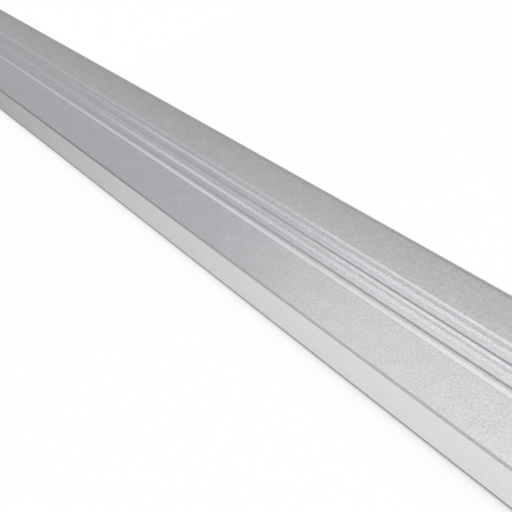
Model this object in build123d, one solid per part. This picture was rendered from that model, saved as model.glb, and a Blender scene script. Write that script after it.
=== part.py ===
from build123d import *
import os

os.makedirs("parts", exist_ok=True)

# All sizes are in millimetres. The stock runs along X, its front face looks
# along -Y, and the origin is under the middle of its box, on the floor.

# Stock sizes
length = 914.4              # a 36 inch stick
top_width = 38.1            # front face to far edge
board_gap = 5.0             # slot between the anchor flange and the top flange
lower_thickness = 1.8       # top flange under the lower land
anchor_thickness = 1.2
anchor_width = 25.0         # front face to the anchor flange's free edge
web_thickness = 1.8

# Ribbed band of the top face, from the front to the far side
lower_land = 12.7           # front face to the foot of the first wall
rib_height = 0.21           # ledges above the lower land
bead_height = 0.05          # bead crests and upper land above the ledges
wall_run = 1.1              # slope on the front side of each rib
ramp_run = 0.85             # slope on the far side of each rib
valley_floor = 1.3
front_ledge = 0.55
middle_ledge = 0.8
back_ledge = 1.3
bead_run = 0.8              # slight rise from a ledge to a bead crest
bead_crest = 0.15
rib_edge_radius = 0.4
rib_foot_radius = 0.4

# Edges
front_chamfer = 0.4         # between the front face and the lower land
bottom_corner_radius = 0.3
inner_corner_radius = 0.8
far_roll_run = 2.1          # the top face rolls down over this width
far_roll_radius = 4.0
lip_width = 2.4             # thickened far edge that bears on the board
lip_depth = 0.5             # its reach below the flange's underside
lip_radius = 0.35
anchor_edge_radius = 0.4

# Levels above the floor
flange_underside = anchor_thickness + board_gap
lower_level = flange_underside + lower_thickness
upper_level = lower_level + rib_height + bead_height
lip_bottom = flange_underside - lip_depth

# Places across the section, measured from the front face
far_roll_start = top_width - far_roll_run
lip_start = top_width - lip_width


def rib_walk():
    """Return the band's stretches in order, each as its kind, its run and its rise."""
    wall = ("wall", wall_run, rib_height)
    bead = ("bead", bead_run, bead_height)
    valley = ("valley", valley_floor, 0)
    return [
        wall,
        ("ledge", front_ledge, 0),
        ("ramp", ramp_run, -rib_height),
        valley,
        wall,
        ("ledge", middle_ledge, 0),
        bead,
        ("crest", bead_crest, 0),
        ("ramp", ramp_run, -rib_height - bead_height),
        valley,
        wall,
        ("ledge", back_ledge, 0),
        bead,
    ]


def rib_corners(walk):
    """Return the corners between the stretches, from the lower to the upper land."""
    place = lower_land
    level = lower_level
    corners = [(place, level)]
    for kind, run, rise in walk:
        place += run
        level += rise
        corners.append((place, level))
    return corners


def rounded_corners(walk, corners):
    """Return the corners at the foot, and at the top, of every wall and ramp."""
    feet = []
    tops = []
    for number, (kind, run, rise) in enumerate(walk):
        start, end = corners[number], corners[number + 1]
        if kind == "wall":
            feet.append(start)
            tops.append(end)
        if kind == "ramp":
            tops.append(start)
            feet.append(end)
    return feet, tops


def far_roll_drop():
    """Return how far the rolled edge falls below the upper land."""
    return far_roll_radius - (far_roll_radius**2 - far_roll_run**2) ** 0.5


def near(sketch, place, level):
    """Return the sketch's corner nearest to a place and level of the section."""
    return sketch.vertices().sort_by_distance((place, level))[0]


def section():
    """Return the whole cross-section, from its front face at 0 to its far edge."""
    walk = rib_walk()
    ribs = rib_corners(walk)
    feet, tops = rounded_corners(walk, ribs)
    roll_start = (far_roll_start, upper_level)
    roll_end = (top_width, upper_level - far_roll_drop())
    with BuildSketch() as profile:
        with BuildLine():
            Polyline((0, 0), (0, lower_level), *ribs, roll_start)
            RadiusArc(roll_start, roll_end, far_roll_radius)
            Polyline(
                roll_end,
                (top_width, lip_bottom),
                (lip_start, lip_bottom),
                (lip_start, flange_underside),
                (web_thickness, flange_underside),
                (web_thickness, anchor_thickness),
                (anchor_width, anchor_thickness),
                (anchor_width, 0),
                (0, 0),
            )
        make_face()
        fillet([near(profile, *spot) for spot in feet], rib_foot_radius)
        fillet([near(profile, *spot) for spot in tops], rib_edge_radius)
        chamfer(near(profile, 0, lower_level), front_chamfer)
        fillet(near(profile, 0, 0), bottom_corner_radius)
        inner = [(web_thickness, flange_underside), (web_thickness, anchor_thickness)]
        fillet([near(profile, *spot) for spot in inner], inner_corner_radius)
        lip = [roll_end, (top_width, lip_bottom), (lip_start, lip_bottom)]
        fillet([near(profile, *spot) for spot in lip], lip_radius)
        anchor = [(anchor_width, anchor_thickness), (anchor_width, 0)]
        fillet([near(profile, *spot) for spot in anchor], anchor_edge_radius)
    return profile.sketch


def end_trim():
    """Return the extruded stock, standing on its anchor flange."""
    across = Plane(origin=(-length / 2, -top_width / 2, 0), x_dir=(0, 1, 0), z_dir=(1, 0, 0))
    return extrude(across * section(), amount=length)


export_step(end_trim(), "parts/end_trim.step")
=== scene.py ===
"""Dresses a stick of ribbed aluminium floor trim and lights it as a studio photograph.

The extrusion is drawn as one cross-section with rounded corners, swept along its
length by a Geometry Nodes tree, and finished as satin anodised aluminium with sawn
ends. All sizes are in metres, apart from those of the camera's lens.
"""

from __future__ import annotations

import logging
import math
from dataclasses import dataclass, field, fields
from enum import Enum

import bpy
from mathutils import Matrix, Vector


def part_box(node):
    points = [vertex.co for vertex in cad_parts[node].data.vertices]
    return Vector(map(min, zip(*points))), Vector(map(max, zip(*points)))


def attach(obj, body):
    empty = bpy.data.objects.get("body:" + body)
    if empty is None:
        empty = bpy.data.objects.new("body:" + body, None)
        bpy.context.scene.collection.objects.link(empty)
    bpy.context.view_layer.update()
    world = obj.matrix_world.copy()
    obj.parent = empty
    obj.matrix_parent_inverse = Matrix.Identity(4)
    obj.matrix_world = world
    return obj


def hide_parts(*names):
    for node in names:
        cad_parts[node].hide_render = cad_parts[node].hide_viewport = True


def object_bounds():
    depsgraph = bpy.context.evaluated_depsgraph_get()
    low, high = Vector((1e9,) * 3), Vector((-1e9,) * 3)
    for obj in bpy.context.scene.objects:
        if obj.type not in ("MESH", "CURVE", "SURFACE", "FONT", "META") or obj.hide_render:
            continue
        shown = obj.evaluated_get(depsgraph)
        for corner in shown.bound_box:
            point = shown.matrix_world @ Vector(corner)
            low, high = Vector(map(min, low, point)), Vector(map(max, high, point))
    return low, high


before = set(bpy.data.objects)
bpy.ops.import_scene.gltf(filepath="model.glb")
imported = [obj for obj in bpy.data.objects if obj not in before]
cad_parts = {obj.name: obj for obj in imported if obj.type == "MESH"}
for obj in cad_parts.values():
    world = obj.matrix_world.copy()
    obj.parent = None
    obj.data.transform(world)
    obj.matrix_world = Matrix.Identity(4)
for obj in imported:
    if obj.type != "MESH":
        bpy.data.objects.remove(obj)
CAD_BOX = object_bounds()

MM = 0.001
NODE = "end_trim"
PIECE = "end_trim_extrusion"

log = logging.getLogger("floor_trim")


@dataclass(frozen=True)
class Texture:
    """Finish of one stretch of the section.

    Args:
        grain: strength of the matte grain.
        painted_light: how much lighter the stretch is painted, or darker where it is below 0, for
            the light and shade that its faces catch.
        streaks: strength of the fine lines that the die left along the stick.
        roughness: the spread of its reflections.
    """

    grain: float
    painted_light: float
    streaks: float
    roughness: float = 0.36

    def towards(self, other: Texture, share: float) -> Texture:
        """Blend this finish with another.

        Args:
            other: the finish to blend in.
            share: how much of the blend is the other finish, from 0 to 1.

        Returns:
            The blend.
        """
        return Texture(
            *(getattr(self, name) * (1.0 - share) + getattr(other, name) * share for name in LAYERS)
        )


LAYERS = tuple(layer.name for layer in fields(Texture))


class Skin(Enum):
    """The finishes of the stretches of the section, with painted light and shade on each."""

    # Painted light and shade: walls and beads are painted lighter, and the chamfer, the roll and the
    # far land darker, for the light that they catch or miss.
    LAND = Texture(grain=1.1, painted_light=-0.2, streaks=0.1)
    LAND_BACK = Texture(grain=1.1, painted_light=0.2, streaks=0.1)
    UPPER_LAND = Texture(grain=0.85, painted_light=-1.05, streaks=0.1, roughness=0.47)
    UPPER_LAND_BACK = Texture(grain=0.85, painted_light=-1.8, streaks=0.1, roughness=0.47)
    VALLEY = Texture(grain=0.8, painted_light=0.15, streaks=0.6)
    FRONT_LEDGE = Texture(grain=0.8, painted_light=0.5, streaks=0.8)
    MIDDLE_LEDGE = Texture(grain=0.8, painted_light=-0.45, streaks=0.8, roughness=0.45)
    BACK_LEDGE = Texture(grain=0.8, painted_light=-0.25, streaks=0.8, roughness=0.4)
    BEAD = Texture(grain=1.0, painted_light=0.5, streaks=0.5, roughness=0.34)
    LAST_BEAD = Texture(grain=1.0, painted_light=1.1, streaks=0.5)
    FRONT_WALL = Texture(grain=0.2, painted_light=0.78, streaks=0.3, roughness=0.4)
    WALL = Texture(grain=0.6, painted_light=0.95, streaks=0.8, roughness=0.26)
    RAMP = Texture(grain=0.3, painted_light=-0.3, streaks=0.3)
    CHAMFER = Texture(grain=0.5, painted_light=-1.65, streaks=0.2, roughness=0.39)
    ROLL = Texture(grain=0.5, painted_light=-0.9, streaks=0.2)
    FRONT = Texture(grain=0.4, painted_light=-0.3, streaks=0.1)
    HIDDEN = Texture(grain=0.6, painted_light=0.0, streaks=0.8)


@dataclass(frozen=True)
class Corner:
    """One corner of the section, with the skin of the stretch that leaves it.

    Args:
        across: distance from the front face.
        level: height above the floor.
        radius: rounding of the corner.
        skin: finish of the stretch that runs on to the next corner.
        shade_line: darkness of the painted shade line along the corner.
        gradual: whether the finish changes evenly over that stretch, up to the next corner's.
    """

    across: float
    level: float
    radius: float
    skin: Skin
    shade_line: float = 0.0
    gradual: bool = False


@dataclass(frozen=True)
class Station:
    """One point of the finished outline.

    Args:
        spot: its distance from the front face and its height.
        finish: the metal's finish there.
        shade_line: darkness of the painted shade line there.
    """

    spot: Vector
    finish: Texture
    shade_line: float = 0.0


@dataclass
class RoundedOutline:
    """A closed outline of straight stretches joined by tangent arcs.

    Args:
        arc_step: largest turn between two points of an arc, in radians.
        least_turn: turn below which a corner stays sharp, in radians.
        hold: distance from an arc's end to the point that holds the flat beside it.
        least_run: shortest stretch that has such points.
        corners: the corners so far, in order.
    """

    arc_step: float = math.radians(7.5)
    least_turn: float = math.radians(1.0)
    hold: float = 0.06 * MM
    least_run: float = 0.15 * MM
    corners: list[Corner] = field(default_factory=list)

    def add(
        self,
        across: float,
        level: float,
        radius: float,
        skin: Skin,
        shade_line: float = 0.0,
        gradual: bool = False,
    ) -> None:
        """Add one corner to the end of the outline."""
        self.corners.append(Corner(across, level, radius, skin, shade_line, gradual))

    def arc_points(
        self, before: Vector, corner: Vector, after: Vector, radius: float
    ) -> list[Vector]:
        """Round one corner.

        Args:
            before: the corner before this one.
            corner: the corner that is rounded.
            after: the corner after this one.
            radius: the arc's radius.

        Returns:
            The arc's points in order, or the corner alone where it is sharp.
        """
        incoming = (corner - before).normalized()
        outgoing = (after - corner).normalized()
        turn = incoming.angle(outgoing)
        if radius <= 0.0 or turn < self.least_turn:
            return [corner]
        reach = radius * math.tan(turn / 2)
        start = corner - incoming * reach
        side = math.copysign(1.0, incoming.x * outgoing.y - incoming.y * outgoing.x)
        normal = Vector((-incoming.y, incoming.x)) * side
        centre = start + normal * radius
        spoke = start - centre
        steps = max(2, math.ceil(turn / self.arc_step))
        return [
            centre + Matrix.Rotation(side * turn * step / steps, 2) @ spoke
            for step in range(steps + 1)
        ]

    def arcs(self) -> list[list[Vector]]:
        """Round every corner.

        Returns:
            The points of each corner's arc, corner by corner.
        """
        spots = [Vector((corner.across, corner.level)) for corner in self.corners]
        following = spots[1:] + spots[:1]
        return [
            self.arc_points(spots[i - 1], spots[i], following[i], corner.radius)
            for i, corner in enumerate(self.corners)
        ]

    def stations(self) -> list[Station]:
        """Finish the outline.

        Returns:
            Its points in order, with holding points beside the arcs where a flat is long enough.
        """
        arcs = self.arcs()
        result = []
        for i, corner in enumerate(self.corners):
            entering = self.corners[i - 1].skin.value
            leaving = corner.skin.value
            last = len(arcs[i]) - 1
            for step, point in enumerate(arcs[i]):
                share = step / last if last else 1.0
                result.append(Station(point, entering.towards(leaving, share), corner.shade_line))
            end, following = arcs[i][-1], arcs[(i + 1) % len(arcs)][0]
            run = following - end
            if run.length > self.least_run and not corner.gradual:
                ahead = run.normalized() * self.hold
                result.append(Station(end + ahead, leaving))
                result.append(Station(following - ahead, leaving))
        return result


@dataclass(frozen=True)
class Rib:
    """The front side of one rib: a wall, a ledge and the painted shade line between them.

    Args:
        wall_skin: finish of the wall.
        ledge_skin: finish of the ledge.
        ledge: width of the ledge.
        shade_line: darkness of the painted shade line.
        setback: distance from the top of the wall to the line.
    """

    wall_skin: Skin
    ledge_skin: Skin
    ledge: float
    shade_line: float
    setback: float = 0.0


@dataclass
class TrimSection:
    """The cross-section of the extrusion, measured from its front face and the floor.

    Args:
        width: width of the whole section.
        lower_level: height of the land in front of the ribs.
        lower_land: width of that land.
        front_chamfer: width and height of the chamfer along its front edge.
        chamfer_radius: rounding of the chamfer's two corners.
        rib_height: height of the ledges above the land.
        bead_height: height of the bead's crest, and of the far land, above the ledges.
        wall_run: width of a rib's front wall.
        ramp_run: width of a rib's far side.
        valley_floor: width of a valley.
        valley_sag: how far the near end of a valley lies below the land.
        bead_run: width of the slight rise from a ledge to a crest.
        bead_crest: width of the crest.
        rib_edge_radius: rounding at the top of the walls and ramps.
        rib_foot_radius: rounding at the foot of the walls and ramps.
        front_rib: the rib nearest to the front face.
        middle_rib: the rib behind it.
        back_rib: the rib that ends at the far land.
        foot_shade_line: darkness of the painted shade line at the foot of each wall.
        land_blend: distance from a land's ends at which its even change of finish stops.
        roll_run: width over which the far edge rolls down.
        roll_radius: radius of that roll.
        roll_steps: how many straight steps draw it.
        lip_width: width of the thickened far edge.
        lip_depth: its reach below the flange.
        lip_radius: rounding of its corners.
        board_gap: height of the slot for the board.
        web_thickness: thickness of the front web.
        inner_radius: rounding of the slot's inner corners.
        anchor_thickness: thickness of the flange on the floor.
        anchor_width: its width.
        anchor_radius: rounding of its free edge.
        bottom_radius: rounding of the front face's lower edge.
    """

    width: float = 38.1 * MM
    lower_level: float = 8.0 * MM
    lower_land: float = 12.7 * MM
    front_chamfer: float = 0.4 * MM
    chamfer_radius: float = 0.05 * MM
    rib_height: float = 0.21 * MM
    bead_height: float = 0.05 * MM
    wall_run: float = 1.1 * MM
    ramp_run: float = 0.85 * MM
    valley_floor: float = 1.3 * MM
    valley_sag: float = 0.04 * MM
    bead_run: float = 0.8 * MM
    bead_crest: float = 0.15 * MM
    rib_edge_radius: float = 0.4 * MM
    rib_foot_radius: float = 0.4 * MM
    # Each rib carries the darkness of its painted shade line near the top of its wall.
    front_rib: Rib = Rib(Skin.FRONT_WALL, Skin.FRONT_LEDGE, ledge=0.55 * MM, shade_line=0.6)
    middle_rib: Rib = Rib(
        Skin.WALL, Skin.MIDDLE_LEDGE, ledge=0.8 * MM, shade_line=0.5, setback=0.2 * MM
    )
    back_rib: Rib = Rib(
        Skin.WALL, Skin.BACK_LEDGE, ledge=1.3 * MM, shade_line=1.05, setback=0.22 * MM
    )
    foot_shade_line: float = 0.5
    land_blend: float = 0.3 * MM
    roll_run: float = 2.1 * MM
    roll_radius: float = 4.0 * MM
    roll_steps: int = 6
    lip_width: float = 2.4 * MM
    lip_depth: float = 0.5 * MM
    lip_radius: float = 0.35 * MM
    board_gap: float = 5.0 * MM
    web_thickness: float = 1.8 * MM
    inner_radius: float = 0.8 * MM
    anchor_thickness: float = 1.2 * MM
    anchor_width: float = 25.0 * MM
    anchor_radius: float = 0.4 * MM
    bottom_radius: float = 0.3 * MM

    @property
    def ledge_level(self) -> float:
        """Height of the ledges at the tops of the rib walls."""
        return self.lower_level + self.rib_height

    @property
    def upper_level(self) -> float:
        """Height of the top face behind the ribs."""
        return self.ledge_level + self.bead_height

    @property
    def roll_start(self) -> float:
        """Distance from the front face to the rolled far edge."""
        return self.width - self.roll_run

    def add_wall(self, line: RoundedOutline, place: float, rib: Rib) -> float:
        """Add a rib's front wall and the ledge behind it.

        Args:
            line: the outline that it goes on.
            place: where the wall's foot is.
            rib: the rib that it belongs to.

        Returns:
            Where the ledge ends.
        """
        # Painted shade lines: one at the wall's foot and one at or behind its top, for the shade in
        # these corners.
        line.add(place, self.lower_level, self.rib_foot_radius, rib.wall_skin, self.foot_shade_line)
        top = place + self.wall_run
        shade_line_at_top = 0.0 if rib.setback else rib.shade_line
        line.add(top, self.ledge_level, self.rib_edge_radius, rib.ledge_skin, shade_line_at_top)
        if rib.setback:
            line.add(top + rib.setback, self.ledge_level, 0.0, rib.ledge_skin, rib.shade_line)
        return top + rib.ledge

    def add_ramp(self, line: RoundedOutline, place: float, level: float) -> float:
        """Add a rib's far side and the valley behind it.

        Args:
            line: the outline that it goes on.
            place: where the ramp starts.
            level: height of its start.

        Returns:
            Where the valley ends.
        """
        foot = place + self.ramp_run
        valley_level = self.lower_level - self.valley_sag
        line.add(place, level, self.rib_edge_radius, Skin.RAMP)
        line.add(foot, valley_level, self.rib_foot_radius, Skin.VALLEY)
        return foot + self.valley_floor

    def add_bead(self, line: RoundedOutline, place: float, skin: Skin, after: Skin) -> float:
        """Add the slight rise at the far side of a ledge.

        Args:
            line: the outline that it goes on.
            place: where the ledge ends.
            skin: finish of the rise.
            after: finish of what lies behind it.

        Returns:
            Where the rise ends.
        """
        line.add(place, self.ledge_level, 0.0, skin)
        line.add(place + self.bead_run, self.upper_level, 0.0, after)
        return place + self.bead_run

    def add_land(
        self, line: RoundedOutline, end: float, level: float, front: Skin, back: Skin
    ) -> None:
        """Add the two points between which the finish of a land changes evenly.

        Args:
            line: the outline, whose last corner is where the land starts.
            end: where the land ends.
            level: its height.
            front: finish of its front part.
            back: finish of its far part.
        """
        start = line.corners[-1].across
        line.add(start + self.land_blend, level, 0.0, front, gradual=True)
        line.add(end - self.land_blend, level, 0.0, back)

    def add_ribs(self, line: RoundedOutline) -> None:
        """Add the ribbed band, from the front land to the far land.

        Args:
            line: the outline that it goes on.
        """
        place = self.add_wall(line, self.lower_land, self.front_rib)
        place = self.add_ramp(line, place, self.ledge_level)
        place = self.add_wall(line, place, self.middle_rib)
        place = self.add_bead(line, place, Skin.BEAD, Skin.BEAD)
        place = self.add_ramp(line, place + self.bead_crest, self.upper_level)
        place = self.add_wall(line, place, self.back_rib)
        self.add_bead(line, place, Skin.LAST_BEAD, Skin.UPPER_LAND)

    def add_roll(self, line: RoundedOutline) -> None:
        """Add the rolled far edge, which falls away in an arc.

        Args:
            line: the outline that it goes on.
        """
        for step in range(self.roll_steps + 1):
            run = self.roll_run * step / self.roll_steps
            drop = self.roll_radius - math.sqrt(self.roll_radius**2 - run**2)
            at_edge = step == self.roll_steps
            radius = self.lip_radius if at_edge else 0.0
            skin = Skin.FRONT if at_edge else Skin.ROLL
            line.add(self.roll_start + run, self.upper_level - drop, radius, skin)

    def add_underside(self, line: RoundedOutline) -> None:
        """Add the lip, the slot and the anchor flange, which the top face hides.

        Args:
            line: the outline that they go on.
        """
        underside = self.anchor_thickness + self.board_gap
        lip_bottom = underside - self.lip_depth
        lip_start = self.width - self.lip_width
        line.add(self.width, lip_bottom, self.lip_radius, Skin.HIDDEN)
        line.add(lip_start, lip_bottom, self.lip_radius, Skin.HIDDEN)
        line.add(lip_start, underside, 0.0, Skin.HIDDEN)
        line.add(self.web_thickness, underside, self.inner_radius, Skin.HIDDEN)
        line.add(self.web_thickness, self.anchor_thickness, self.inner_radius, Skin.HIDDEN)
        line.add(self.anchor_width, self.anchor_thickness, self.anchor_radius, Skin.HIDDEN)
        line.add(self.anchor_width, 0.0, self.anchor_radius, Skin.HIDDEN)

    def outline(self) -> RoundedOutline:
        """Draw the whole section.

        Returns:
            The outline, clockwise from the bottom of the front face.
        """
        line = RoundedOutline()
        chamfer_foot = self.lower_level - self.front_chamfer
        line.add(0.0, 0.0, self.bottom_radius, Skin.FRONT)
        line.add(0.0, chamfer_foot, self.chamfer_radius, Skin.CHAMFER)
        line.add(self.front_chamfer, self.lower_level, self.chamfer_radius, Skin.LAND)
        self.add_land(line, self.lower_land, self.lower_level, Skin.LAND, Skin.LAND_BACK)
        self.add_ribs(line)
        self.add_land(
            line, self.roll_start, self.upper_level, Skin.UPPER_LAND, Skin.UPPER_LAND_BACK
        )
        self.add_roll(line)
        self.add_underside(line)
        return line


class Ray(Enum):
    """The kinds of ray for which the floor and the room look like white paper."""

    CAMERA = "Is Camera Ray"
    MIRRORED = "Is Glossy Ray"
    THROUGH = "Is Transmission Ray"


class Signal:
    """A socket of a node tree that can be used in Python expressions."""

    def __init__(self, sheet: NodeSheet, socket: bpy.types.NodeSocket | None) -> None:
        """Keep the sheet that the socket belongs to, and the socket."""
        self.sheet = sheet
        self.socket = socket

    def maths(self, operation: str, *others: Signal | float) -> Signal:
        """Apply a Math node to this signal.

        Args:
            operation: what the node does.
            others: the inputs that follow this signal, in order.

        Returns:
            The node's result.
        """
        inputs = dict(enumerate((self, *others)))
        return self.sheet.add("ShaderNodeMath", {"operation": operation}, inputs)

    def __add__(self, other: Signal | float) -> Signal:
        """Return the sum."""
        return self.maths("ADD", other)

    def __radd__(self, other: float) -> Signal:
        """Return the sum, with the number first."""
        return self.maths("ADD", other)

    def __sub__(self, other: Signal | float) -> Signal:
        """Return the difference."""
        return self.maths("SUBTRACT", other)

    def __rsub__(self, other: float) -> Signal:
        """Return the number less this signal."""
        return self.sheet.add("ShaderNodeMath", {"operation": "SUBTRACT"}, {0: other, 1: self})

    def __mul__(self, other: Signal | float) -> Signal:
        """Return the product."""
        return self.maths("MULTIPLY", other)

    def __rmul__(self, other: float) -> Signal:
        """Return the product, with the number first."""
        return self.maths("MULTIPLY", other)

    def greatest(self, *others: Signal) -> Signal:
        """Compare this signal with others.

        Args:
            others: the signals to compare it with.

        Returns:
            The greatest of them all.
        """
        result = self
        for other in others:
            result = result.maths("MAXIMUM", other)
        return result

    def ramp(self, low: float, high: float, at_low: float = 0.0, at_high: float = 1.0) -> Signal:
        """Map this signal smoothly from one range to another.

        Args:
            low: value at which the result is at_low.
            high: value at which the result is at_high.
            at_low: result at and before low.
            at_high: result at and after high.

        Returns:
            The mapped signal.
        """
        settings = {"interpolation_type": "SMOOTHSTEP"}
        inputs = dict(enumerate((self, low, high, at_low, at_high)))
        return self.sheet.add("ShaderNodeMapRange", settings, inputs)


class NodeSheet:
    """A node tree with one short way of adding nodes."""

    def __init__(self, tree: bpy.types.NodeTree) -> None:
        """Clear the tree and keep it."""
        self.tree = tree
        tree.nodes.clear()

    def add(
        self,
        kind: str,
        settings: dict | None = None,
        sockets: dict | None = None,
        output: int | str = 0,
    ) -> Signal:
        """Add one node.

        Args:
            kind: the node's type.
            settings: its properties, which are set first.
            sockets: values, or signals to link, by input name or number.
            output: the output that the returned signal stands for.

        Returns:
            The chosen output as a signal.
        """
        node = self.tree.nodes.new(kind)
        for name, value in (settings or {}).items():
            setattr(node, name, value)
        for key, value in (sockets or {}).items():
            if isinstance(value, Signal):
                self.tree.links.new(value.socket, node.inputs[key])
            else:
                node.inputs[key].default_value = value
        socket = node.outputs[output] if len(node.outputs) else None
        return Signal(self, socket)

    def ray(self, kind: Ray) -> Signal:
        """Return 1 for rays of one kind, and 0 for the others."""
        return self.add("ShaderNodeLightPath", output=kind.value)

    def own_place(self) -> Signal:
        """Return the place on the object in its own coordinates."""
        return self.add("ShaderNodeTexCoord", output="Object")

    def part(self, vector: Signal, axis: str) -> Signal:
        """Return the part of a vector along one axis."""
        return self.add("ShaderNodeSeparateXYZ", None, {"Vector": vector}, axis)

    def scaled(self, colour: Signal | tuple, factor: Signal | float) -> Signal:
        """Return a colour, or a vector, times a number."""
        return self.add("ShaderNodeVectorMath", {"operation": "SCALE"}, {0: colour, "Scale": factor})

    def mix_colour(
        self, factor: Signal | float, first: Signal | tuple, second: Signal | tuple
    ) -> Signal:
        """Return a blend of two colours."""
        settings = {"data_type": "RGBA", "blend_type": "MIX"}
        return self.add("ShaderNodeMix", settings, {"Factor": factor, 6: first, 7: second}, 2)

    def finish_metal(self, colour: Signal, roughness: Signal | float, bump: Signal) -> None:
        """Let a material end in bare metal.

        Args:
            colour: the metal's colour.
            roughness: the spread of its reflections.
            bump: its fine relief.
        """
        inputs = {"Base Color": colour, "Metallic": 1.0, "Roughness": roughness, "Normal": bump}
        surface = self.add("ShaderNodeBsdfPrincipled", None, inputs)
        self.add("ShaderNodeOutputMaterial", None, {"Surface": surface})


def new_material(name: str) -> tuple[bpy.types.Material, NodeSheet]:
    """Make a material.

    Args:
        name: what it is called.

    Returns:
        The material, and its nodes, of which it has none yet.
    """
    made = bpy.data.materials.new(name)
    made.use_nodes = True
    return made, NodeSheet(made.node_tree)


def add_to_scene(name: str, data: bpy.types.ID) -> bpy.types.Object:
    """Put a mesh, a lamp or a camera in the scene.

    Args:
        name: what its object is called.
        data: the mesh, lamp or camera.

    Returns:
        Its object.
    """
    made = bpy.data.objects.new(name, data)
    bpy.context.scene.collection.objects.link(made)
    return made


def grey(tone: float) -> tuple[float, float, float, float]:
    """Return a plain grey as a colour, where a tone of 1 is white."""
    return (tone, tone, tone, 1.0)


@dataclass(frozen=True)
class SatinAnodised:
    """Satin silver anodised aluminium, with grain on its level faces, painted light and shade on
    each stretch, and fine lines of painted shade.

    Args:
        name: what the material is called.
        colour: the metal's colour.
        grain_size: width of one speck of the grain.
        grain_detail: how many finer layers the grain has.
        grain_tone: how much the specks differ in brightness.
        grain_height: depth of the grain.
        mottle_size: width of one of the cloudy patches.
        mottle_detail: how many finer layers the patches have.
        mottle_tone: how much the patches differ in brightness.
        streak_size: length, width and height of one die line.
        streak_detail: how many finer layers the die lines have.
        streak_tone: how much the die lines differ in brightness.
        streak_height: depth of the die lines as a share of the grain's.
        layer_strength: strength of each finer layer as a share of the one before it.
        painted_light_gain: how much lighter the painted light makes the metal.
        shade_line_loss: how much darker the painted shade lines are.
        drift_tone: how much the tone drifts along the stick.
        drift_length: length of one whole drift.
    """

    name: str = "satin_anodised_aluminium"
    colour: tuple[float, float, float] = (0.762, 0.763, 0.778)
    grain_size: float = 0.5 * MM
    grain_detail: float = 2.0
    grain_tone: float = 0.58
    grain_height: float = 0.03 * MM
    mottle_size: float = 4.0 * MM
    mottle_detail: float = 1.0
    mottle_tone: float = 0.12
    streak_size: tuple[float, float, float] = (60.0 * MM, 0.3 * MM, 0.3 * MM)
    streak_detail: float = 1.0
    streak_tone: float = 0.10
    streak_height: float = 0.5
    layer_strength: float = 0.6
    painted_light_gain: float = 0.11
    shade_line_loss: float = 0.45
    drift_tone: float = 0.04
    drift_length: float = 0.9

    def layer(self, sheet: NodeSheet, name: str) -> Signal:
        """Return one of the finish layers that the section carries."""
        return sheet.add("ShaderNodeAttribute", {"attribute_name": name}, output="Fac")

    def noise(self, sheet: NodeSheet, spot: Signal, size: tuple, detail: float) -> Signal:
        """Add a noise pattern.

        Args:
            sheet: the material's nodes.
            spot: the object's own coordinates.
            size: length of one speck along X, Y and Z.
            detail: how many finer layers it has.

        Returns:
            The pattern, which runs from about -0.5 to 0.5.
        """
        per_metre = tuple(1.0 / length for length in size)
        stretched = sheet.add("ShaderNodeMapping", None, {"Vector": spot, "Scale": per_metre})
        inputs = {
            "Vector": stretched,
            "Scale": 1.0,
            "Detail": detail,
            "Roughness": self.layer_strength,
        }
        return sheet.add("ShaderNodeTexNoise", {"noise_dimensions": "3D"}, inputs) - 0.5

    def material(self) -> bpy.types.Material:
        """Make the finish as a material that reads the object's own coordinates.

        Returns:
            The material.
        """
        made, sheet = new_material(self.name)
        spot = sheet.own_place()
        grain = self.layer(sheet, "grain")
        specks = self.noise(sheet, spot, (self.grain_size,) * 3, self.grain_detail) * grain
        clouds = self.noise(sheet, spot, (self.mottle_size,) * 3, self.mottle_detail) * grain
        streaks = self.layer(sheet, "streaks")
        lines = self.noise(sheet, spot, self.streak_size, self.streak_detail) * streaks
        drift = (sheet.part(spot, "X") * (2.0 * math.pi / self.drift_length)).maths("SINE")
        tone = 1.0 + specks * self.grain_tone + lines * self.streak_tone + drift * self.drift_tone
        # Painted light and shade on each stretch, read from the section.
        tone = tone + clouds * self.mottle_tone + self.layer(sheet, "painted_light") * self.painted_light_gain
        # Painted shade lines along the rib corners and the feet of the walls.
        tone = tone * (1.0 - self.layer(sheet, "shade_line") * self.shade_line_loss)
        relief = specks + lines * self.streak_height
        inputs = {"Height": relief, "Distance": self.grain_height, "Strength": 1.0}
        bump = sheet.add("ShaderNodeBump", None, inputs)
        colour = sheet.scaled(self.colour, tone)
        sheet.finish_metal(colour, self.layer(sheet, "roughness"), bump)
        return made


@dataclass(frozen=True)
class SawnAluminium:
    """Bare metal at the sawn ends, with fine saw lines.

    Args:
        name: what the material is called.
        colour: the metal's colour.
        line_colour: its colour in the saw lines.
        roughness: the spread of its reflections.
        lines_per_metre: how close the saw lines lie along X, Y and Z.
        line_detail: how many finer layers they have.
        line_range: values of the pattern at which the saw lines are gone, and darkest.
        line_depth: depth of the saw lines.
    """

    name: str = "sawn_aluminium"
    colour: tuple[float, ...] = (0.82, 0.82, 0.83, 1.0)
    line_colour: tuple[float, ...] = (0.6, 0.6, 0.61, 1.0)
    roughness: float = 0.3
    lines_per_metre: tuple[float, float, float] = (1.0, 400.0, 6000.0)
    line_detail: float = 2.0
    line_range: tuple[float, float] = (0.35, 0.65)
    line_depth: float = 0.02 * MM

    def material(self) -> bpy.types.Material:
        """Make the finish as a material that reads the object's own coordinates.

        Returns:
            The material.
        """
        made, sheet = new_material(self.name)
        inputs = {"Vector": sheet.own_place(), "Scale": self.lines_per_metre}
        stretched = sheet.add("ShaderNodeMapping", None, inputs)
        inputs = {"Vector": stretched, "Scale": 1.0, "Detail": self.line_detail}
        lines = sheet.add("ShaderNodeTexNoise", None, inputs)
        colour = sheet.mix_colour(lines.ramp(*self.line_range), self.colour, self.line_colour)
        bump = sheet.add("ShaderNodeBump", None, {"Height": lines, "Distance": self.line_depth})
        sheet.finish_metal(colour, self.roughness, bump)
        return made


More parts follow.
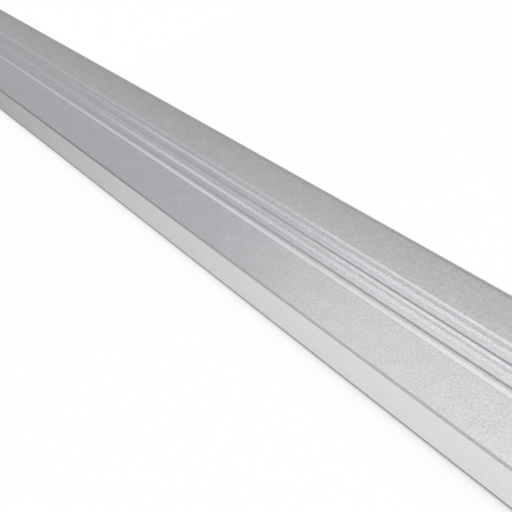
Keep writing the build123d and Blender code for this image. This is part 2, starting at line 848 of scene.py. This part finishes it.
class SweepTree:
    """A Geometry Nodes tree that sweeps a section along a straight stick.

    A face whose normal lies along the stick by more than END_FACING is a sawn end.
    """

    END_FACING = 0.9

    def __init__(self, side: bpy.types.Material, end: bpy.types.Material) -> None:
        """Build the tree.

        Args:
            side: finish of the swept faces.
            end: finish of the two sawn ends.
        """
        self.tree = bpy.data.node_groups.new("sweep_section", "GeometryNodeTree")
        self.sheet = NodeSheet(self.tree)
        self.inputs: dict[str, str] = {}
        self.declare("Geometry", "NodeSocketGeometry")
        self.declare("Length", "NodeSocketFloat")
        self.declare("Rings", "NodeSocketInt")
        self.tree.interface.new_socket(
            "Geometry", in_out="OUTPUT", socket_type="NodeSocketGeometry"
        )
        self.finish(self.sweep(), side, end)

    def declare(self, name: str, kind: str) -> None:
        """Add a named input to the tree and keep its identifier."""
        made = self.tree.interface.new_socket(name, in_out="INPUT", socket_type=kind)
        self.inputs[name] = made.identifier

    def given(self, name: str) -> Signal:
        """Return one of the tree's inputs."""
        return self.sheet.add("NodeGroupInput", output=name)

    def sweep(self) -> Signal:
        """Lay out the nodes that turn the section into a capped stick.

        Returns:
            The stick's faces, which point outwards.
        """
        add = self.sheet.add
        start = add("ShaderNodeCombineXYZ", None, {"X": self.given("Length") * -0.5})
        finish = add("ShaderNodeCombineXYZ", None, {"X": self.given("Length") * 0.5})
        line = add("GeometryNodeCurvePrimitiveLine", None, {"Start": start, "End": finish})
        inputs = {"Curve": line, "Count": self.given("Rings")}
        path = add("GeometryNodeResampleCurve", None, inputs)
        inputs = {"Geometry": self.given("Geometry"), "Rotation": (0.0, 0.0, math.pi)}
        upright = add("GeometryNodeTransform", None, inputs)
        profile = add("GeometryNodeMeshToCurve", None, {"Mesh": upright})
        inputs = {"Curve": path, "Profile Curve": profile, "Fill Caps": True}
        swept = add("GeometryNodeCurveToMesh", None, inputs)
        return add("GeometryNodeFlipFaces", None, {"Mesh": swept})

    def finish(self, stick: Signal, side: bpy.types.Material, end: bpy.types.Material) -> None:
        """Lay out the nodes that shade and finish the stick.

        Args:
            stick: the stick's faces.
            side: finish of the swept faces.
            end: finish of the two sawn ends.
        """
        add = self.sheet.add
        facing = self.sheet.part(add("GeometryNodeInputNormal"), "X").maths("ABSOLUTE")
        settings = {"data_type": "FLOAT", "operation": "GREATER_THAN"}
        is_end = add("FunctionNodeCompare", settings, {0: facing, 1: self.END_FACING})
        inputs = {"Geometry": stick, "Shade Smooth": True}
        smooth = add("GeometryNodeSetShadeSmooth", None, inputs)
        inputs = {"Geometry": smooth, "Selection": is_end, "Shade Smooth": False}
        shaded = add("GeometryNodeSetShadeSmooth", None, inputs)
        solid = add("GeometryNodeRealizeInstances", None, {"Geometry": shaded})
        sided = add("GeometryNodeSetMaterial", None, {"Geometry": solid, "Material": side})
        inputs = {"Geometry": sided, "Selection": is_end, "Material": end}
        ended = add("GeometryNodeSetMaterial", None, inputs)
        add("NodeGroupOutput", None, {"Geometry": ended})


@dataclass
class TrimStick:
    """The whole stick: its section swept to the CAD part's length.

    Args:
        section: the section.
        rings: how many copies of the section lie along the stick.
    """

    section: TrimSection = field(default_factory=TrimSection)
    rings: int = 48

    def section_mesh(self) -> bpy.types.Mesh:
        """Draw the section as a closed loop of edges that carries the finish.

        Returns:
            The loop, which lies flat.
        """
        stations = self.section.outline().stations()
        count = len(stations)
        points = [(station.spot.x, station.spot.y, 0.0) for station in stations]
        edges = [(i, (i + 1) % count) for i in range(count)]
        layers = {
            name: [getattr(station.finish, name) for station in stations] for name in LAYERS
        }
        # The painted shade lines travel with the section as a layer of their own.
        layers["shade_line"] = [station.shade_line for station in stations]
        mesh = bpy.data.meshes.new("trim_section")
        mesh.from_pydata(points, edges, [])
        for name, values in layers.items():
            mesh.attributes.new(name, "FLOAT", "POINT").data.foreach_set("value", values)
        return mesh

    def build(self) -> bpy.types.Object:
        """Sweep the section and set it in the CAD part's place.

        Returns:
            The finished piece.
        """
        low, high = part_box(NODE)
        stick = add_to_scene(PIECE, self.section_mesh())
        sweep = SweepTree(SatinAnodised().material(), SawnAluminium().material())
        modifier = stick.modifiers.new("sweep", "NODES")
        modifier.node_group = sweep.tree
        modifier[sweep.inputs["Length"]] = high.x - low.x
        modifier[sweep.inputs["Rings"]] = self.rings
        graph = bpy.context.evaluated_depsgraph_get()
        swept = bpy.data.meshes.new_from_object(stick.evaluated_get(graph))
        stick.modifiers.remove(modifier)
        stick.data = swept
        swept.transform(Matrix.Translation(Vector((0.0, low.y, low.z))))
        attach(stick, "root")
        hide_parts(NODE)
        return stick


@dataclass(frozen=True)
class PaleFloor:
    """A plain pale floor that looks white and keeps the stick's shadow.

    Args:
        reach: distance from its middle to its edges.
        tone: its tone for the light that it sends back.
        shade: the part of its look that the lamps give, and that the shadow takes away.
        glow: the part of its look that it gives off by itself.
        contact: how far from the stick its contact shadow starts.
        contact_samples: how many rays measure that shadow at each point.
        line_range: openness of the floor at which the dark contact line is full, and gone.
        line_tone: tone of that line.
        soft_range: openness at which the soft shadow beyond it is full, and gone.
        soft_tone: tone of the soft shadow where it is full.
        mirrored_contact: how white, at least, the metal mirrors that shadow.
        fall_range: places along X between which the mirrored floor grows lighter.
        fall_loss: what the mirrored floor lacks before the first of them.
    """

    reach: float = 6.0
    tone: float = 0.9
    shade: float = 0.15
    glow: float = 0.87
    contact: float = 3.0 * MM
    contact_samples: int = 16
    line_range: tuple[float, float] = (0.46, 0.61)
    line_tone: float = 0.06
    soft_range: tuple[float, float] = (0.45, 1.0)
    soft_tone: float = 0.84
    mirrored_contact: float = 0.97
    fall_range: tuple[float, float] = (-0.06, 0.23)
    fall_loss: float = 0.55

    def glow_colour(self, sheet: NodeSheet, mirrored: Signal) -> Signal:
        """Give what the floor gives off its contact shadow and its fall along the stick.

        Args:
            sheet: the floor's nodes.
            mirrored: 1 where the metal mirrors the floor.

        Returns:
            The colour that it gives off.
        """
        settings = {"samples": self.contact_samples}
        inputs = {"Distance": self.contact}
        openness = sheet.add("ShaderNodeAmbientOcclusion", settings, inputs, "AO")
        line = openness.ramp(*self.line_range)
        soft = openness.ramp(*self.soft_range, self.soft_tone, 1.0)
        paper = (line * soft).greatest(mirrored * self.mirrored_contact)
        colour = sheet.mix_colour(paper, grey(self.line_tone), grey(1.0))
        # Painted shade: the floor that the metal mirrors is darker towards -X, which darkens the
        # front face towards that end.
        fall = sheet.part(sheet.own_place(), "X").ramp(*self.fall_range, self.fall_loss, 0.0)
        return sheet.scaled(colour, 1.0 - mirrored * fall)

    def material(self) -> bpy.types.Material:
        """Make the floor's paper.

        Returns:
            The material.
        """
        made, sheet = new_material("pale_floor")
        mirrored = sheet.ray(Ray.MIRRORED)
        plain = sheet.add("ShaderNodeBsdfDiffuse", None, {"Color": grey(self.tone)})
        shaded = sheet.add("ShaderNodeBsdfDiffuse", None, {"Color": grey(self.shade)})
        inputs = {"Color": self.glow_colour(sheet, mirrored), "Strength": self.glow}
        glowing = sheet.add("ShaderNodeEmission", None, inputs)
        white = sheet.add("ShaderNodeAddShader", None, {0: shaded, 1: glowing})
        looked_at = sheet.ray(Ray.CAMERA).greatest(mirrored, sheet.ray(Ray.THROUGH))
        mixed = sheet.add("ShaderNodeMixShader", None, {0: looked_at, 1: plain, 2: white})
        sheet.add("ShaderNodeOutputMaterial", None, {"Surface": mixed})
        return made

    def build(self) -> bpy.types.Object:
        """Lay the floor.

        Returns:
            The floor's object.
        """
        reach = self.reach
        corners = [(-reach, -reach, 0), (reach, -reach, 0), (reach, reach, 0), (-reach, reach, 0)]
        mesh = bpy.data.meshes.new("floor")
        mesh.from_pydata(corners, [], [(0, 1, 2, 3)])
        mesh.materials.append(self.material())
        floor = add_to_scene("floor", mesh)
        return floor


@dataclass(frozen=True)
class PaleRoom:
    """The pale room around the stick, darker behind the camera.

    Args:
        dark: colour of the room behind the camera.
        pale: colour of the rest of the room.
        dark_range: direction along Y at which it is dark, and pale.
        paper_range: rise above the horizon up to which the metal mirrors white paper, and from
            which it mirrors the room.
    """

    dark: tuple[float, ...] = (0.201, 0.192, 0.2, 1.0)
    pale: tuple[float, ...] = (0.397, 0.3785, 0.396, 1.0)
    dark_range: tuple[float, float] = (-0.45, -0.1)
    paper_range: tuple[float, float] = (0.02, 0.05)

    def build(self) -> bpy.types.World:
        """Make the room, which is white paper where the camera sees it.

        Returns:
            The world that stands for it.
        """
        room = bpy.data.worlds.new("room")
        room.use_nodes = True
        sheet = NodeSheet(room.node_tree)
        direction = sheet.own_place()
        shade = sheet.part(direction, "Y").ramp(*self.dark_range)
        low = sheet.part(direction, "Z").ramp(*self.paper_range, 1.0, 0.0)
        paper = sheet.ray(Ray.CAMERA).greatest(
            sheet.ray(Ray.THROUGH), sheet.ray(Ray.MIRRORED) * low
        )
        walls = sheet.mix_colour(shade, self.dark, self.pale)
        shown = sheet.mix_colour(paper, walls, grey(1.0))
        surface = sheet.add("ShaderNodeBackground", None, {"Color": shown, "Strength": 1.0})
        sheet.add("ShaderNodeOutputWorld", None, {"Surface": surface})
        bpy.context.scene.world = room
        return room


@dataclass(frozen=True)
class SoftBox:
    """A rectangular soft light that hangs level.

    Args:
        name: what it is called.
        along: where it starts and ends along X.
        across: where it starts and ends along Y.
        brightness: the light that each part of it gives off, where 1 is white.
        height: its height above the floor.
        tint: colour of its light.
    """

    name: str
    along: tuple[float, float]
    across: tuple[float, float]
    brightness: float
    height: float = 1.0
    tint: tuple[float, float, float] = (0.98, 1.0, 0.98)

    def build(self) -> bpy.types.Object:
        """Hang the light.

        Returns:
            Its lamp.
        """
        light = bpy.data.lights.new(self.name, "AREA")
        light.color = self.tint
        light.shape = "RECTANGLE"
        light.size = self.along[1] - self.along[0]
        light.size_y = self.across[1] - self.across[0]
        light.energy = self.brightness * math.pi * light.size * light.size_y
        lamp = add_to_scene(self.name, light)
        lamp.location = (sum(self.along) / 2, sum(self.across) / 2, self.height)
        return lamp


@dataclass(frozen=True)
class Viewpoint:
    """The photograph's place and angle.

    Args:
        lens: focal length, in millimetres.
        sensor: width of the picture behind the lens, in millimetres.
        pitch: how far the camera looks down.
        turn: how far it looks away from the stick's own direction.
        along: its distance from the middle of the stick, along X.
        back: its distance in front of the front face.
        height: its height above the floor.
        nearest: distance from which it sees things.
    """

    lens: float = 48.69
    sensor: float = 36.0
    pitch: float = math.radians(35.54)
    turn: float = math.radians(39.40)
    along: float = 235.0 * MM
    back: float = 74.54 * MM
    height: float = 98.16 * MM
    nearest: float = 5.0 * MM

    def build(self, front: float) -> bpy.types.Object:
        """Set up the scene's camera.

        Args:
            front: where the stick's front face is, along Y.

        Returns:
            The camera.
        """
        data = bpy.data.cameras.new("camera")
        data.lens = self.lens
        data.sensor_width = self.sensor
        data.clip_start = self.nearest
        camera = add_to_scene("camera", data)
        level = math.cos(self.pitch)
        ahead = Vector(
            (-math.cos(self.turn) * level, math.sin(self.turn) * level, -math.sin(self.pitch))
        )
        camera.location = (self.along, front - self.back, self.height)
        camera.rotation_euler = ahead.to_track_quat("-Z", "Y").to_euler()
        bpy.context.scene.camera = camera
        return camera


@dataclass
class Studio:
    """The floor, the room, the soft lights and the camera.

    Args:
        floor: the floor under the stick.
        room: the room around it.
        lights: the soft lights above it.
        viewpoint: where the photograph is taken from.
    """

    floor: PaleFloor = PaleFloor()
    room: PaleRoom = PaleRoom()
    lights: tuple[SoftBox, ...] = (
        SoftBox("back_strip", (-0.69, 1.56), (0.62, 0.84), 1.495),
        SoftBox("overhead", (-1.24, 3.77), (-2.02, 0.415), 0.611),
        SoftBox("near_end", (0.12, 2.95), (-1.27, 1.57), 0.798),
    )
    viewpoint: Viewpoint = Viewpoint()

    def build(self) -> None:
        """Set the studio up around the stick, and report each thing in it."""
        front = CAD_BOX[0].y
        things = [self.floor.build(), self.room.build()]
        things.extend(light.build() for light in self.lights)
        things.append(self.viewpoint.build(front))
        for thing in things:
            log.info("studio: %s", thing.name)


def main() -> None:
    """Build the stick and the studio in order, and report the studio's things."""
    logging.basicConfig(level=logging.INFO, format="%(name)s: %(message)s")
    bpy.context.scene.view_settings.view_transform = "Standard"
    stick = TrimStick().build()
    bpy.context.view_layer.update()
    Studio().build()


if __name__ == "__main__":
    main()
